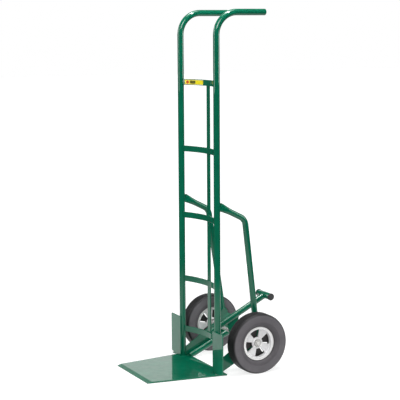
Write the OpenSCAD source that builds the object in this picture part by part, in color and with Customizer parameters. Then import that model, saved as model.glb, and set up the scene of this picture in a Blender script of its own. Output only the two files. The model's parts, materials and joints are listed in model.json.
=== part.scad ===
// Two-handled steel hand truck with bowed cross straps, solid rubber tyres on cast hubs,
// a foot kick bar and a flat toe plate.
// +X is the user's right, -Y the load side, +Z up. The origin is under the toe plate,
// midway between the rails and in the plane of the rails' centre lines.

/* [Frame] */
// Width over the outsides of the two rails
frame_w = 355.6; // [320:1:460]
// Height from the floor to the top of the handles
total_h = 1510; // [1380:1:1830]
// Outside diameter of the rail pipe
rail_d = 26.7; // [24:0.1:32]
// Wall of the rail pipe
rail_wall = 2.9; // [1.5:0.1:4]
// Centre-line radius of the bend from a rail into its handle
handle_bend_r = 92; // [60:1:130]
// Distance from the rails' plane to the tip of a handle's pipe
handle_reach = 224; // [180:1:280]
// How far the domed plug stands out of a handle
plug_dome = 5; // [3:0.5:8]
// How deep the plug goes into the pipe
plug_depth = 16; // [10:1:25]

/* [Cross straps] */
// Height of the lowest strap's middle
strap_1_z = 128; // [110:1:160]
// Height of the second strap's middle
strap_2_z = 353; // [320:1:380]
// Height of the third strap's middle
strap_3_z = 633; // [600:1:660]
// Height of the fourth strap's middle
strap_4_z = 921; // [880:1:950]
// Height of the top strap's middle
strap_5_z = 1206; // [1160:1:1240]
// Height of a strap's flat bar
strap_h = 25.4; // [20:0.1:35]
// Thickness of a strap's flat bar
strap_t = 4.8; // [3:0.1:6.4]
// How far a strap's front face is bowed behind the rails' plane
strap_bow = 40; // [25:1:55]
// Width of the upright centre strap
centre_strap_w = 25.4; // [20:0.1:40]
// How far the centre strap runs past the top strap's middle and the lowest strap's middle
centre_strap_over = 12; // [8:0.5:20]

/* [Label] */
// Distance from the middle of the truck to the label's inner end
label_start = 30; // [10:1:60]
// Length of the label along the strap
label_len = 116; // [60:1:118]
// Height of the label
label_h = 20; // [10:0.5:24]
// Thickness of the label
label_t = 0.4; // [0.3:0.1:0.8]

/* [Toe plate] */
// How far the plate reaches in front of the rails' plane
toe_reach = 318; // [220:1:380]
// Width of the plate at its front edge
toe_front_w = 312; // [250:1:380]
// Width of the plate at its back edge
toe_back_w = 399; // [385:1:420]
// How far the plate runs behind the rails' plane
toe_back = 26.5; // [22:0.5:40]
// Thickness of the plate
toe_t = 6.4; // [5:0.1:10]
// Length of the taper ground on the front edge
toe_taper_l = 20; // [10:1:40]
// Thickness left at the front edge
toe_edge_t = 2.4; // [2:0.1:4.5]

/* [Wheel guards] */
// Thickness of a guard plate
guard_t = 4.8; // [3:0.1:6.4]
// Height of a guard's top edge above the floor
guard_top = 184; // [165:1:200]
// How far a guard covers the rail, measured from the rail's inner side
guard_lap = 25; // [14:0.5:26]
// How far a guard reaches outside the rail
guard_out = 64; // [50:1:80]
// Width of the cut on a guard's lower outer corner
guard_cut_w = 42; // [20:1:60]
// Height of the cut on a guard's lower outer corner
guard_cut_h = 8; // [5:0.5:20]

/* [Braces] */
// Outside diameter of a brace pipe
brace_d = 25.4; // [18:0.1:28]
// Height of a brace's upper end on its rail
brace_top_z = 712; // [690:1:740]
// Distance from the rails' plane to the corner of the brace's bend
brace_corner_y = 130; // [110:1:150]
// Drop from the brace's upper end to its corner
brace_corner_drop = 66; // [40:1:90]
// Centre-line radius of a brace's bend
brace_bend_r = 45; // [35:1:60]
// Length over which each end of a brace is pressed from round to flat
brace_taper_l = 20; // [15:1:30]
// Length of the pressed flat at each end of a brace
brace_flat_l = 28; // [20:1:35]
// Thickness of the pressed flat at each end of a brace
brace_flat_t = 6; // [5:0.1:8]

/* [Axle and brackets] */
// Distance from the rails' plane to the axle
axle_y = 160; // [148:1:172]
// Diameter of the axle
axle_d = 15.875; // [14:0.005:18]
// Thickness of an axle bracket plate
bracket_t = 5; // [4:0.1:8]
// Distance from a rail's centre line in to its bracket's middle plane
bracket_in = 14.45; // [13:0.05:16]
// Height of a bracket's front corner
bracket_front_z = 48; // [35:1:60]
// Distance from the rails' plane to the top corner where the brace stands
bracket_peak_y = 213; // [200:1:225]
// Height of the top corner where the brace stands
bracket_peak_z = 180; // [165:1:195]
// Outside diameter of a lower strut
strut_d = 26.7; // [20:0.1:30]
// Wall of a lower strut
strut_wall = 2.9; // [1.5:0.1:4]
// Slope of the lower struts in degrees
strut_slope = 24.5; // [20:0.5:28]
// Distance from the rails' plane to the back end of a strut
strut_back_y = 206; // [190:1:215]
// Radial play of the axle in its brackets
axle_seat_play = 0.05; // [0.02:0.01:0.1]

/* [Kick bar] */
// Diameter of the kick bar's pipe
kick_d = 26.7; // [22:0.1:27]
// Diameter of the foot piece across its end
tee_d = 28.2; // [28:0.1:34]
// Wall of the kick bar's pipe
kick_wall = 2.9; // [1.5:0.1:4]
// Distance from the rails' plane to the foot piece
kick_tee_y = 320; // [290:1:350]
// Height of the foot piece
kick_tee_z = 275; // [262:1:290]
// Length of the foot piece
kick_tee_l = 104; // [80:1:140]
// Slope of the kick bar in degrees
kick_slope = 27; // [25:0.5:29]
// Thickness of the gusset between the axle and the kick bar
gusset_t = 6.4; // [5:0.1:10]
// Length of the gusset along the kick bar
gusset_l = 62; // [40:1:80]
// Thickness of the flange on the plastic caps of the foot piece
tee_cap_t = 3; // [2:0.1:5]
// How far the flange of a plastic cap stands out round the foot piece
tee_cap_rim = 1.4; // [0:0.1:3]
// How deep the plastic caps go into the foot piece
tee_cap_depth = 12; // [8:1:20]

/* [Wheels] */
// Outside diameter of a tyre
tyre_d = 254; // [230:1:265]
// Width of a tyre
tyre_w = 63.5; // [50:0.5:66]
// Width of the level part of the tread
tread_w = 36; // [24:1:40]
// Distance between a rail's centre line and the middle plane of its wheel
wheel_out = 48.5; // [45:0.5:60]
// Radius of the hub's bright outer ring
rim_r = 71.2; // [64:0.1:76]
// Width over the hub's two rings
rim_w = 35; // [28:0.5:40]
// Thickness of a hub ring and of the hub's barrel
rim_t = 4; // [3:0.1:5]
// Depth of the groove that holds the tyre
bead_depth = 8; // [5:0.5:10]
// Radius of the hub's boss
boss_r = 21.5; // [21:0.1:26]
// Length of the hub's boss
boss_l = 38; // [34:0.5:44]
// Thickness of the hub's outer web
web_t = 7; // [5:0.5:9]
// How far the outer web's face is set in from the outer ring's face
web_inset = 12; // [9:0.5:13]
// How far the inner web's face is set in from the inner ring's face
back_web_inset = 3.5; // [2:0.5:4]
// Thickness of the inner web
back_web_t = 5; // [3:0.5:6]
// How far the outer web is dished in at the boss
web_dish = 4; // [0:0.5:6]
// Number of windows in each web
window_count = 4; // [3:1:6]
// Angle that each window spans
window_angle = 44; // [30:1:50]
// Rotation of the windows about the axle
window_turn = 14; // [0:1:90]

/* [Bearings] */
// Outside diameter of a ball bearing
bearing_d = 34.9; // [33:0.1:36]
// Width of a ball bearing
bearing_w = 11; // [9:0.1:12]
// Diameter of a bearing ball
ball_d = 5.6; // [4:0.1:5.8]
// Number of balls in a bearing
ball_count = 9; // [7:1:9]
// Radial clearance between the axle and the bearings' inner rings
axle_play = 0.05; // [0.02:0.01:0.1]
// Depth that a bearing is sunk below the boss's face
bearing_sink = 3; // [2:0.5:5]

/* [Axle hardware] */
// Outside diameter of the axle washers
washer_d = 26; // [24:0.5:30]
// Thickness of the axle washers
washer_t = 2; // [1.5:0.1:2.5]
// Outside diameter of the spacer sleeves
spacer_d = 22; // [20:0.5:24]
// Wire diameter of the cotter pins
cotter_d = 3.2; // [2.5:0.1:4]
// Side play of a wheel on the axle
side_play = 0.4; // [0.3:0.1:1]

/* [Hidden] */
$fn = 96;
paint = [0.0, 0.46, 0.31];
steel = [0.72, 0.73, 0.72];
cast = [0.86, 0.86, 0.84];
rubber = [0.29, 0.28, 0.30];
yellow = [0.93, 0.78, 0.12];
black = [0.08, 0.08, 0.08];

small = 0.01;
rail_x = (frame_w - rail_d) / 2;
rail_r = rail_d / 2;
handle_z = total_h - rail_r;
guard_front_y = -rail_r - guard_t;

strap_end_x = rail_x - rail_r / 2;
strap_r = (pow(strap_end_x, 2) + pow(strap_bow, 2)) / (2 * strap_bow);
strap_back = strap_bow + strap_t;
strap_sweep = 2 * asin(strap_end_x / strap_r);
centre_strap_back = strap_back + strap_t;

bracket_x = rail_x - bracket_in;
axle_z = tyre_d / 2;
strut_x = bracket_x - bracket_t / 2 - strut_d / 2;
strut_foot_y = toe_back + strut_d / 3;
function strut_z(y) = toe_t + strut_d / 3 + (y - strut_foot_y) * tan(strut_slope);

brace_flat_w = PI * brace_d / 2;
brace_sides = 32;
brace_foot_y = bracket_peak_y - 16;
brace_foot_x = bracket_x - bracket_t / 2 - brace_flat_t / 2;
brace_foot_z = bracket_peak_z - 38;
brace_clear = 4;

kick_front_y = centre_strap_back;
function kick_z(y) = kick_tee_z - (kick_tee_y - y) * tan(kick_slope);
gusset_y = axle_y + 2;

wheel_x = rail_x + wheel_out;
boss_out = boss_l / 2 - 10;
boss_in = boss_l - boss_out;
bearing_bore_r = axle_d / 2 + axle_play;
bearing_pitch_r = (bearing_bore_r + bearing_d / 2) / 2;
ring_wall = (bearing_d / 2 - bearing_bore_r) * 0.28;
outer_bearing_x = boss_out - bearing_sink - bearing_w;
inner_bearing_x = -boss_in + bearing_sink;
outer_face_x = wheel_x + boss_out - bearing_sink;
inner_face_x = wheel_x - boss_in + bearing_sink;
axle_end_x = outer_face_x + side_play + washer_t + cotter_d * 2.2;
cotter_x = outer_face_x + side_play + washer_t + cotter_d / 2 + 0.1;

// Left pieces are mirror images of right pieces.
module on_side(side) {
    if (side < 0) mirror([1, 0, 0]) children();
    else children();
}

// Stands 2D outlines drawn in (y, z) upright and gives them a thickness along x.
module upright_plate(thickness) {
    rotate([90, 0, 90]) translate([0, 0, -thickness / 2]) linear_extrude(thickness) children();
}

// A pipe along +Z from the origin.
module pipe(diameter, wall, length) {
    difference() {
        cylinder(d = diameter, h = length);
        translate([0, 0, -1]) cylinder(d = diameter - 2 * wall, h = length + 2);
    }
}

// A pipe bend in the plane of y and z, from angle from_a through sweep degrees.
module pipe_bend(diameter, wall, bend_r, from_a, sweep) {
    rotate([90, 0, 90]) rotate([0, 0, from_a]) rotate_extrude(angle = sweep) translate([bend_r, 0])
        difference() {
            circle(d = diameter);
            circle(d = diameter - 2 * wall);
        }
}

// Solid cylinder along X, centred on x.
module cross_rod(diameter, length) {
    rotate([0, 90, 0]) cylinder(d = diameter, h = length, center = true);
}

// Both rails' outlines, for coping what is welded to them.
module rail_outlines() {
    for (side = [-1, 1])
        translate([side * rail_x, 0, 0]) cylinder(r = rail_r, h = handle_z - handle_bend_r);
}

// One rail: straight pipe on the toe plate, a quarter bend and a handle.
module rail() {
    color(paint) translate([rail_x, 0, 0]) {
        translate([0, 0, toe_t]) pipe(rail_d, rail_wall, handle_z - handle_bend_r - toe_t);
        translate([0, handle_bend_r, handle_z - handle_bend_r])
            pipe_bend(rail_d, rail_wall, handle_bend_r, 90, 90);
        translate([0, handle_bend_r, handle_z]) rotate([-90, 0, 0])
            pipe(rail_d, rail_wall, handle_reach - handle_bend_r);
    }
}

// Domed plug in the end of a handle.
module handle_plug() {
    bore_r = rail_r - rail_wall;
    dome_r = (pow(rail_r, 2) + pow(plug_dome, 2)) / (2 * plug_dome);
    color(paint) translate([rail_x, handle_reach, handle_z]) rotate([-90, 0, 0]) {
        translate([0, 0, -plug_depth]) cylinder(r = bore_r, h = plug_depth + small);
        intersection() {
            cylinder(r = rail_r, h = plug_dome);
            translate([0, 0, plug_dome - dome_r]) sphere(r = dome_r);
        }
    }
}

// Curved band of the straps' arc: depth is measured back from the strap's front face.
module strap_arc(depth, thickness, height, sweep, turn) {
    translate([0, strap_bow - strap_r, 0]) rotate([0, 0, 90 - sweep / 2 + turn])
        rotate_extrude(angle = sweep, $fn = 256)
            translate([strap_r + depth, -height / 2]) square([thickness, height]);
}

// Bowed flat bar between the rails, coped to the pipes.
module cross_strap(z) {
    color(paint) difference() {
        translate([0, 0, z]) strap_arc(0, strap_t, strap_h, strap_sweep, 0);
        rail_outlines();
    }
}

// Upright flat bar behind the cross straps.
module centre_strap() {
    low = strap_1_z - centre_strap_over;
    high = strap_5_z + centre_strap_over;
    color(paint) translate([-centre_strap_w / 2, strap_back, low])
        cube([centre_strap_w, strap_t, high - low]);
}

// Adhesive label on the left half of the top strap.
module strap_label() {
    start_a = asin(label_start / strap_r);
    sweep = label_len / strap_r * 180 / PI;
    color(yellow) translate([0, 0, strap_5_z])
        strap_arc(-label_t, label_t, label_h, sweep, start_a + sweep / 2);
}

// Tapered plate on the floor, with its front edge ground thin.
module toe_plate() {
    taper_a = atan((toe_t - toe_edge_t) / toe_taper_l);
    color(paint) difference() {
        linear_extrude(toe_t) polygon([
            [-toe_front_w / 2, -toe_reach], [toe_front_w / 2, -toe_reach],
            [toe_back_w / 2, toe_back], [-toe_back_w / 2, toe_back]
        ]);
        translate([-toe_back_w, -toe_reach, toe_edge_t]) rotate([taper_a, 0, 0])
            translate([0, -toe_taper_l, 0]) cube([2 * toe_back_w, 4 * toe_taper_l, 4 * toe_t]);
    }
}

// Flat plate on the front of a rail that keeps loads off the wheel.
module wheel_guard() {
    inner = rail_x + rail_r - guard_lap;
    outer = rail_x + rail_r + guard_out;
    color(paint) translate([0, guard_front_y, 0]) rotate([90, 0, 0]) mirror([0, 0, 1])
        linear_extrude(guard_t) polygon([
            [inner, toe_t], [outer - guard_cut_w, toe_t], [outer, toe_t + guard_cut_h],
            [outer, guard_top - 4], [outer - 4, guard_top], [inner, guard_top]
        ]);
}

// Brace path: flat and taper at the rail, a bend, then flat and taper against the bracket.
// Each station is [x, y, z, roundness], where roundness is 1 on pipe and 0 on a flat.
function brace_stations() =
    let(
        corner = [brace_corner_y, brace_top_z - brace_corner_drop],
        foot = [brace_foot_y, brace_foot_z],
        upper_a = atan(brace_corner_drop / brace_corner_y),
        lower_a = atan((corner[1] - foot[1]) / (foot[0] - corner[0])),
        down_rail = [cos(upper_a), -sin(upper_a)],
        down_leg = [cos(lower_a), -sin(lower_a)],
        head = [rail_r, brace_top_z - rail_r * tan(upper_a)],
        trim = brace_bend_r * tan((lower_a - upper_a) / 2),
        centre = corner - trim * down_rail - brace_bend_r * [sin(upper_a), cos(upper_a)],
        foot_l = (bracket_peak_z + brace_clear - foot[1]) / sin(lower_a),
        leg_end = foot - (foot_l + brace_taper_l) * down_leg,
        flat_end = foot - foot_l * down_leg
    ) concat(
        [for (s = [0, brace_flat_l]) let(p = head + s * down_rail) [rail_x, p[0], p[1], 0]],
        [let(p = head + (brace_flat_l + brace_taper_l) * down_rail) [rail_x, p[0], p[1], 1]],
        [for (k = [0 : 8]) let(
            a = upper_a + (lower_a - upper_a) * k / 8,
            p = centre + brace_bend_r * [sin(a), cos(a)]
        ) [rail_x, p[0], p[1], 1]],
        [[brace_foot_x + brace_d / 4, leg_end[0], leg_end[1], 1]],
        [[brace_foot_x, flat_end[0], flat_end[1], 0]],
        [[brace_foot_x, foot[0], foot[1], 0]]
    );

// One ring of points round a station, square to the path in the plane of y and z.
function brace_ring(stations, k) =
    let(
        here = stations[k],
        ahead = stations[min(k + 1, len(stations) - 1)],
        behind = stations[max(k - 1, 0)],
        a = k == 0 ? 0 : atan2(ahead[2] - behind[2], ahead[1] - behind[1]),
        round = here[3],
        half_x = round * brace_d / 2 + (1 - round) * brace_flat_t / 2,
        half_n = round * brace_d / 2 + (1 - round) * brace_flat_w / 2,
        power = round + (1 - round) * 0.25
    ) [for (j = [0 : brace_sides - 1]) let(
        c = cos(j * 360 / brace_sides),
        s = sin(j * 360 / brace_sides),
        u = half_x * sign(c) * pow(abs(c), power),
        v = half_n * sign(s) * pow(abs(s), power)
    ) [here[0] + u, here[1] - v * sin(a), here[2] + v * cos(a)]];

// Bent pipe from the middle of a rail back and down to the inside of the axle bracket.
module brace() {
    stations = brace_stations();
    rings = len(stations);
    n = brace_sides;
    color(paint) polyhedron(
        points = [for (k = [0 : rings - 1]) each brace_ring(stations, k)],
        faces = concat(
            [[for (j = [0 : n - 1]) j]],
            [[for (j = [n - 1 : -1 : 0]) (rings - 1) * n + j]],
            [for (k = [0 : rings - 2], j = [0 : n - 1]) [
                k * n + j, (k + 1) * n + j, (k + 1) * n + (j + 1) % n, k * n + (j + 1) % n
            ]]
        ),
        convexity = 6
    );
}

// Side outline of an axle bracket, from the rail's foot back to where the brace stands.
module bracket_outline() {
    back_y = bracket_peak_y + 24;
    polygon([
        [rail_r / 2, toe_t], [rail_r / 2, bracket_front_z], [bracket_peak_y, bracket_peak_z],
        [back_y, bracket_peak_z - 16], [back_y, bracket_peak_z - 44],
        [strut_back_y, strut_z(strut_back_y)], [strut_foot_y, toe_t]
    ]);
}

// Plate from the foot of a rail back to the axle, with the axle's hole.
module axle_bracket() {
    color(paint) difference() {
        translate([bracket_x, 0, 0]) upright_plate(bracket_t) bracket_outline();
        translate([bracket_x, axle_y, axle_z])
            cross_rod(axle_d + 2 * axle_seat_play, bracket_t + 2);
        rail_outlines();
    }
}

// Round strut from the back edge of the toe plate along the bracket's inner face.
module strut() {
    length = (strut_back_y - strut_foot_y) / cos(strut_slope);
    lead = strut_d * 0.6;
    color(paint) difference() {
        translate([strut_x, strut_foot_y, strut_z(strut_foot_y)])
            rotate([-90 + strut_slope, 0, 0]) translate([0, 0, -lead])
                pipe(strut_d, strut_wall, length + lead);
        translate([strut_x - strut_d, 0, toe_t - 2 * strut_d])
            cube([2 * strut_d, toe_back + 2 * strut_d, 2 * strut_d]);
    }
}

// Sloping pipe from the centre strap over the axle to the foot piece.
module kick_bar() {
    length = (kick_tee_y - kick_front_y) / cos(kick_slope);
    color(paint) difference() {
        translate([0, kick_tee_y, kick_tee_z]) rotate([90 + kick_slope, 0, 0])
            pipe(kick_d, kick_wall, length + kick_d);
        translate([-kick_d, kick_front_y - 4 * kick_d, 0])
            cube([2 * kick_d, 4 * kick_d, kick_tee_z]);
        translate([0, kick_tee_y, kick_tee_z]) cross_rod(tee_d, kick_tee_l);
    }
}

// Short pipe across the end of the kick bar.
module kick_foot_piece() {
    color(paint) translate([-kick_tee_l / 2, kick_tee_y, kick_tee_z]) rotate([0, 90, 0])
        pipe(tee_d, kick_wall, kick_tee_l);
}

// Plastic caps pushed into the ends of the foot piece.
module kick_foot_caps() {
    for (side = [-1, 1])
        color(black) on_side(side) translate([kick_tee_l / 2, kick_tee_y, kick_tee_z])
            rotate([0, 90, 0]) {
                translate([0, 0, -tee_cap_depth])
                    cylinder(d = tee_d - 2 * kick_wall, h = tee_cap_depth + small);
                cylinder(d = tee_d + 2 * tee_cap_rim, h = tee_cap_t);
            }
}

// Plate that stands on the axle and carries the kick bar.
module kick_gusset() {
    low_y = gusset_y - gusset_l / 2;
    high_y = gusset_y + gusset_l / 2;
    color(paint) difference() {
        upright_plate(gusset_t) polygon([
            [low_y, kick_z(low_y)], [high_y, kick_z(high_y)],
            [axle_y + axle_d, axle_z], [axle_y + axle_d / 2, axle_z - axle_d],
            [axle_y - axle_d / 2, axle_z - axle_d], [axle_y - axle_d, axle_z]
        ]);
        translate([0, axle_y, axle_z]) cross_rod(axle_d + 2 * axle_seat_play, gusset_t + 2);
        translate([0, kick_tee_y, kick_tee_z]) rotate([90 + kick_slope, 0, 0])
            cylinder(d = kick_d, h = kick_tee_y);
    }
}

// Steel rod across the truck, drilled for the cotter pins.
module axle() {
    color(steel) difference() {
        translate([0, axle_y, axle_z]) cross_rod(axle_d, 2 * axle_end_x);
        for (side = [-1, 1])
            translate([side * cotter_x, axle_y, axle_z]) cylinder(d = cotter_d, h = axle_d * 2, center = true);
    }
}

// A ring on the axle, from x along +X.
module axle_ring(x, outer_d, inner_r, length) {
    translate([x, axle_y, axle_z]) rotate([0, 90, 0]) difference() {
        cylinder(d = outer_d, h = length);
        translate([0, 0, -1]) cylinder(r = inner_r, h = length + 2);
    }
}

// Sleeves that hold the wheels clear of the brackets.
module axle_spacers() {
    start = bracket_x + bracket_t / 2;
    for (side = [-1, 1])
        color(steel) on_side(side)
            axle_ring(start, spacer_d, axle_d / 2 + axle_seat_play,
                inner_face_x - side_play - washer_t - start);
}

// Washers between the spacers and the wheels.
module inner_washers() {
    for (side = [-1, 1])
        color(steel) on_side(side)
            axle_ring(inner_face_x - side_play - washer_t, washer_d, axle_d / 2 + axle_seat_play,
                washer_t);
}

// Washers between the wheels and the cotter pins.
module outer_washers() {
    for (side = [-1, 1])
        color(steel) on_side(side)
            axle_ring(outer_face_x + side_play, washer_d, axle_d / 2 + axle_seat_play, washer_t);
}

// Split pins through the axle's ends: a straight shank with a ring head.
module cotter_pins() {
    for (side = [-1, 1])
        color(steel) on_side(side) translate([cotter_x, axle_y, axle_z]) {
            translate([0, 0, -axle_d / 2 - 5]) cylinder(d = cotter_d, h = axle_d + 8);
            translate([0, 0, axle_d / 2 + 4.4]) rotate([0, 90, 0])
                rotate_extrude() translate([2.4, 0]) circle(d = cotter_d * 0.6);
        }
}

// What belongs to a wheel is drawn with its axle along +Z and moved to its place.
module at_wheel(side) {
    on_side(side) translate([wheel_x, axle_y, axle_z]) rotate([90, 0, 90]) children();
}

// Solid rubber tyre with round shoulders and full sidewalls, seated between the hub's rings.
module tyre(side) {
    half = tyre_w / 2;
    outer = tyre_d / 2;
    shoulder = (tyre_w - tread_w) / 2;
    seat_r = rim_r - bead_depth;
    seat_w = rim_w - 2 * rim_t;
    flank = concat(
        [
            [seat_r, seat_w / 2], [rim_r + 0.5, seat_w / 2], [rim_r + 1, seat_w / 2 + 3],
            [rim_r + 5, half - 7], [rim_r + 12, half - 1.5], [outer - 1.6 * shoulder, half]
        ],
        [for (a = [0 : 10 : 90])
            [outer - shoulder + shoulder * sin(a), tread_w / 2 + shoulder * cos(a)]]
    );
    last = len(flank) - 1;
    color(rubber) at_wheel(side) rotate_extrude($fn = 192)
        polygon(concat(flank, [for (k = [last : -1 : 0]) [flank[k][0], -flank[k][1]]]));
}

// Outline of one window in a hub web, between the boss and the barrel.
module hub_window(barrel_r) {
    difference() {
        polygon([
            [0, 0],
            for (a = [-0.5, -0.25, 0, 0.25, 0.5])
                (barrel_r - 3) / cos(window_angle / 8)
                    * [cos(a * window_angle), sin(a * window_angle)]
        ]);
        circle(r = boss_r + 3);
    }
}

// Cast hub: two bright rings on a barrel, two spoked webs and a bored boss. The inner
// web's windows are turned half a spoke from the outer web's.
module hub(side) {
    half = rim_w / 2;
    seat_r = rim_r - bead_depth;
    barrel_r = seat_r - rim_t;
    web_z = half - web_inset;
    back_z = back_web_inset - half;
    color(cast) at_wheel(side) difference() {
        union() {
            rotate_extrude($fn = 192) for (m = [0, 1]) mirror([0, m]) {
                translate([barrel_r, 0]) square([rim_t, half]);
                translate([barrel_r, half - rim_t]) square([rim_r - barrel_r, rim_t]);
            }
            rotate_extrude($fn = 192) polygon([
                [0, web_z - web_t - web_dish], [barrel_r + 1, web_z - web_t],
                [barrel_r + 1, web_z], [0, web_z - web_dish]
            ]);
            rotate_extrude($fn = 192) translate([0, back_z]) square([barrel_r + 1, back_web_t]);
            translate([0, 0, -boss_in]) cylinder(r = boss_r, h = boss_l);
        }
        for (k = [0 : window_count - 1]) {
            rotate([0, 0, window_turn + k * 360 / window_count])
                translate([0, 0, back_z + back_web_t]) linear_extrude(2 * half)
                    hub_window(barrel_r);
            rotate([0, 0, window_turn + (k + 0.5) * 360 / window_count])
                translate([0, 0, back_z - half]) linear_extrude(half + back_web_t)
                    hub_window(barrel_r);
        }
        translate([0, 0, -boss_in - 1]) cylinder(r = bearing_bore_r + 2.5, h = boss_l + 2);
        translate([0, 0, outer_bearing_x]) cylinder(d = bearing_d, h = boss_l);
        translate([0, 0, inner_bearing_x + bearing_w - boss_l]) cylinder(d = bearing_d, h = boss_l);
    }
}

// One ring of a bearing with a round groove for its balls.
module bearing_ring(inner_r, outer_r) {
    difference() {
        cylinder(r = outer_r, h = bearing_w);
        translate([0, 0, -1]) cylinder(r = inner_r, h = bearing_w + 2);
        translate([0, 0, bearing_w / 2]) rotate_extrude() translate([bearing_pitch_r, 0])
            circle(d = ball_d);
    }
}

module both_bearings(side) {
    at_wheel(side) for (x = [inner_bearing_x, outer_bearing_x])
        translate([0, 0, x]) children();
}

module bearing_outer_rings(side) {
    color(steel) both_bearings(side) bearing_ring(bearing_d / 2 - ring_wall, bearing_d / 2);
}

module bearing_inner_rings(side) {
    color(steel) both_bearings(side) bearing_ring(bearing_bore_r, bearing_bore_r + ring_wall);
}

module bearing_balls(side) {
    color(steel) both_bearings(side) translate([0, 0, bearing_w / 2])
        for (k = [0 : ball_count - 1])
            rotate([0, 0, k * 360 / ball_count]) translate([bearing_pitch_r, 0, 0])
                sphere(d = ball_d, $fn = 32);
}

// Tube between the two bearings' inner rings.
module hub_sleeve(side) {
    start = inner_bearing_x + bearing_w;
    color(steel) at_wheel(side) translate([0, 0, start])
        pipe(2 * (bearing_bore_r + 2), 2, outer_bearing_x - start);
}

on_side(-1) rail();  // left_rail
rail();  // right_rail
on_side(-1) handle_plug();  // left_handle_plug
handle_plug();  // right_handle_plug
cross_strap(strap_1_z);  // cross_strap_1
cross_strap(strap_2_z);  // cross_strap_2
cross_strap(strap_3_z);  // cross_strap_3
cross_strap(strap_4_z);  // cross_strap_4
cross_strap(strap_5_z);  // cross_strap_5
centre_strap();
strap_label();
toe_plate();
on_side(-1) wheel_guard();  // left_wheel_guard
wheel_guard();  // right_wheel_guard
on_side(-1) brace();  // left_brace
brace();  // right_brace
on_side(-1) axle_bracket();  // left_axle_bracket
axle_bracket();  // right_axle_bracket
on_side(-1) strut();  // left_strut
strut();  // right_strut
kick_bar();
kick_foot_piece();
kick_foot_caps();
kick_gusset();
axle();
axle_spacers();
inner_washers();
outer_washers();
cotter_pins();
tyre(-1);  // left_tyre
hub(-1);  // left_hub
bearing_outer_rings(-1);  // left_bearing_outer_rings
bearing_inner_rings(-1);  // left_bearing_inner_rings
bearing_balls(-1);  // left_bearing_balls
hub_sleeve(-1);  // left_hub_sleeve
tyre(1);  // right_tyre
hub(1);  // right_hub
bearing_outer_rings(1);  // right_bearing_outer_rings
bearing_inner_rings(1);  // right_bearing_inner_rings
bearing_balls(1);  // right_bearing_balls
hub_sleeve(1);  // right_hub_sleeve
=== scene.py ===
import json
import math

import bpy
from mathutils import Matrix, Vector


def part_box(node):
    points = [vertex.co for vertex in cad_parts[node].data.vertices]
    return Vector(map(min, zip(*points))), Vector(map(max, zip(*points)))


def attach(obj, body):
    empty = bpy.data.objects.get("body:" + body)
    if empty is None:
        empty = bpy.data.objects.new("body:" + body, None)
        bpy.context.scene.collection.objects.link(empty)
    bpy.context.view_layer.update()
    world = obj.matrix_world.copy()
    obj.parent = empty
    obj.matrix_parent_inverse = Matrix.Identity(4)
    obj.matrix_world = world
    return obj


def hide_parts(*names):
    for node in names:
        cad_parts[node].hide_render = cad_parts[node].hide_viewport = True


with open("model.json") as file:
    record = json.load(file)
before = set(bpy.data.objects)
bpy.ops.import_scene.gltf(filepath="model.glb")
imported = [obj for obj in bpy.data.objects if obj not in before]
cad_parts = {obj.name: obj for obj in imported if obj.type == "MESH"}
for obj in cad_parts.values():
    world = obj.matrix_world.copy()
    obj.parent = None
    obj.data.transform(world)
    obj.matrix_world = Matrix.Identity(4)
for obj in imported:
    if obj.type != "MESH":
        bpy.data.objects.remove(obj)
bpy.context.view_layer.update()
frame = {"nodes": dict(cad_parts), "record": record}
print("hand truck: CAD frame loaded")


# camera first, so that everything else can be judged through it
cameraSettings = {
    "place": (4.6627, -2.3499, 1.4377),
    "azimuth": 63.2,      # degrees round from the front
    "pitch": 7.88,        # degrees down
    "roll": -0.36,
    "lens": 112.55,       # mm, on the sensor below
    "sensor": 36,
}


def makeCamera():
    turn = math.radians(cameraSettings["azimuth"])
    pitch = math.radians(cameraSettings["pitch"])
    back = Vector((math.sin(turn) * math.cos(pitch), -math.cos(turn) * math.cos(pitch), math.sin(pitch)))
    data = bpy.data.cameras.new("camera")
    data.lens = cameraSettings["lens"]
    data.sensor_width = cameraSettings["sensor"]
    data.clip_start, data.clip_end = 0.05, 60
    camera = bpy.data.objects.new("camera", data)
    bpy.context.scene.collection.objects.link(camera)
    camera.rotation_mode = "QUATERNION"
    level = (-back).to_track_quat("-Z", "Y")
    roll = Matrix.Rotation(math.radians(cameraSettings["roll"]), 3, "Z").to_quaternion()
    camera.rotation_quaternion = level @ roll
    camera.location = cameraSettings["place"]
    bpy.context.scene.camera = camera


makeCamera()


# small helpers for modelling
sides = ((-1, "left"), (1, "right"))


def clearSelection():
    if bpy.context.object and bpy.context.object.mode != "OBJECT":
        bpy.ops.object.mode_set(mode="OBJECT")
    bpy.ops.object.select_all(action="DESELECT")


def pick(piece):
    clearSelection()
    piece.select_set(True)
    bpy.context.view_layer.objects.active = piece


def editAll(piece):
    pick(piece)
    bpy.ops.object.mode_set(mode="EDIT")
    bpy.ops.mesh.select_mode(type="VERT")
    bpy.ops.mesh.select_all(action="SELECT")


def leaveEdit():
    bpy.ops.object.mode_set(mode="OBJECT")


def startPoint(name, place):
    # a plane merged to its middle is a single vertex to draw an outline from
    clearSelection()
    bpy.ops.mesh.primitive_plane_add(size=0.01, location=place)
    piece = bpy.context.object
    piece.name = name
    piece.data.name = name
    editAll(piece)
    bpy.ops.mesh.merge(type="CENTER")
    return piece


def drawOutline(name, points, closed=False):
    piece = startPoint(name, points[0])
    ends = list(points[1:]) + ([points[0]] if closed else [])
    here = Vector(points[0])
    for point in ends:
        step = Vector(point) - here
        bpy.ops.mesh.extrude_vertices_move(TRANSFORM_OT_translate={"value": step})
        here = Vector(point)
    bpy.ops.mesh.select_all(action="SELECT")
    bpy.ops.mesh.remove_doubles(threshold=0.00001)
    return piece


def tidyMesh():
    bpy.ops.mesh.select_all(action="SELECT")
    bpy.ops.mesh.remove_doubles(threshold=0.00001)
    bpy.ops.mesh.normals_make_consistent(inside=False)


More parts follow.
